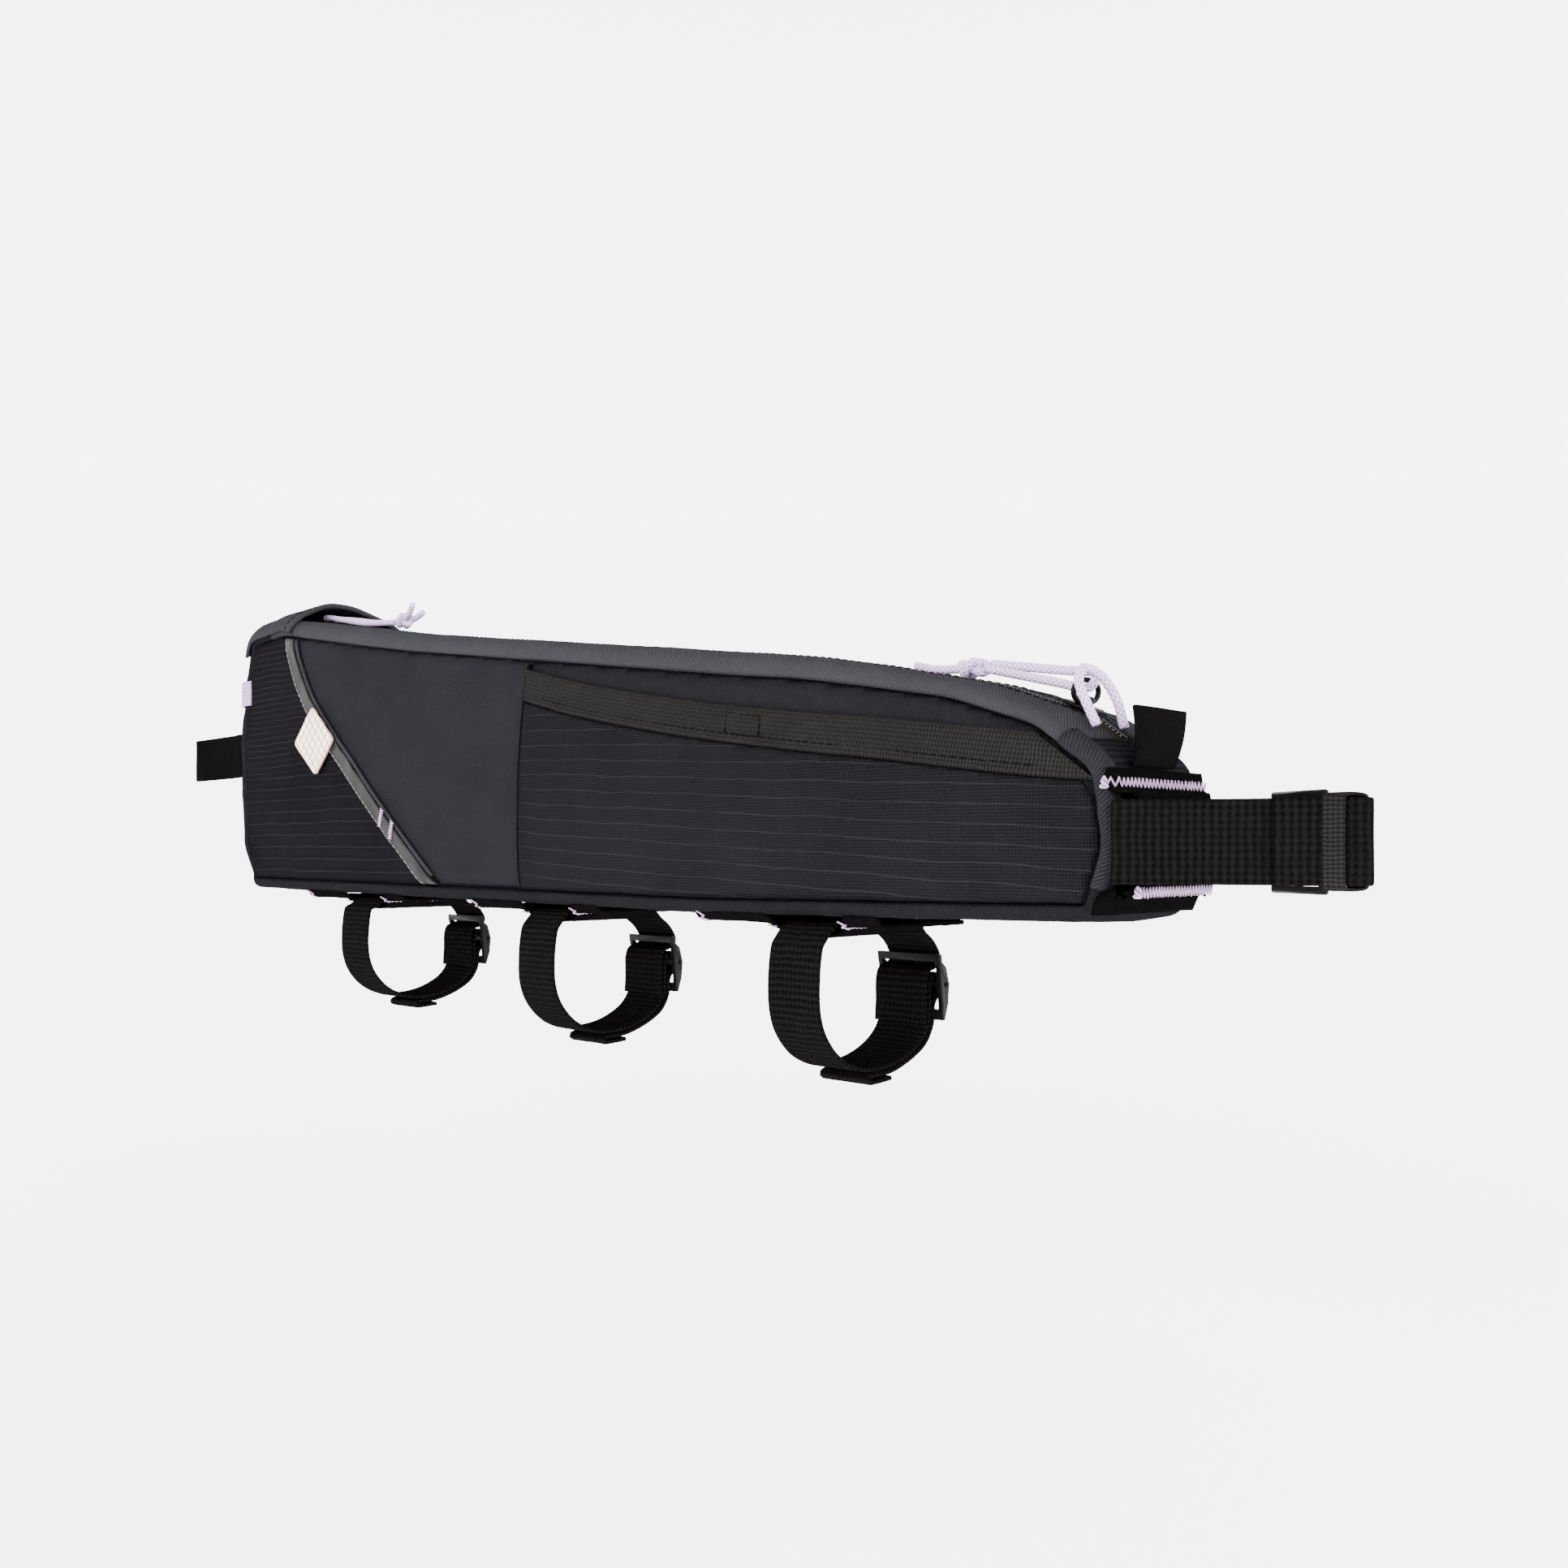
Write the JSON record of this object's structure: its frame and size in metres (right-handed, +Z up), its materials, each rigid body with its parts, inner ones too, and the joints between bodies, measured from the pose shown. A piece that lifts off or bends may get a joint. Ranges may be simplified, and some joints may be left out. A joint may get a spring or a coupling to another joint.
{
  "type": "top tube bag",
  "caption": "Long wedge-shaped soft bag for a bicycle's top tube, zipped along its top, with side pockets, strap loops underneath and a strap at each end.",
  "frame": {"origin": "underside of the bag at its middle strap, where it sits on the top tube", "axes": "+X along the bag towards its low front end, +Y to its far side wall, +Z up through the zip"},
  "size_m": [0.5669, 0.0647, 0.176],
  "materials": {
    "twill": "coarse woven",
    "softshell": "smooth woven",
    "ripstop": "ribbed woven",
    "webbing": "woven webbing",
    "grosgrain": "ribbed tape",
    "velour": "brushed loop pile",
    "reflective": "satin coated",
    "patch_rubber": "matte printed",
    "zip_tape": "woven tape and coil",
    "hardware": "satin",
    "lilac_cord": "braided",
    "lilac_tape": "woven",
    "label": "woven"
  },
  "bodies": {
    "root": {"bottom_gusset": "twill", "front_panel": "ripstop", "top_band_near": "twill", "top_band_far": "twill", "zip_tape": "zip_tape", "side_panel_near": "softshell", "side_panel_front": "twill", "side_panel_far": "twill", "hood": "twill", "rear_pocket": "ripstop", "pocket_binding": "reflective", "diamond_patch": "patch_rubber", "front_pocket": "ripstop", "pocket_webbing": "grosgrain", "zip_slider_front": "hardware", "zip_slider_rear": "hardware", "zip_ring_front": "hardware", "front_pull_cord": "lilac_cord", "front_pull_knot": "lilac_cord", "rear_pull_cord": "lilac_cord", "rear_pull_knot": "lilac_cord", "cord_arch": "lilac_cord", "front_patch": "velour", "front_strap": "webbing", "front_buckle": "hardware", "strap_keeper": "webbing", "label": "label", "rear_patch": "velour", "rear_strap": "webbing", "light_loop": "lilac_tape", "bottom_patch_rear": "velour", "loop_strap_rear": "webbing", "loop_buckle_rear": "hardware", "bottom_patch_middle": "velour", "loop_strap_middle": "webbing", "loop_buckle_middle": "hardware", "bottom_patch_front": "velour", "loop_strap_front": "webbing", "loop_buckle_front": "hardware"}
  },
  "joints": []
}
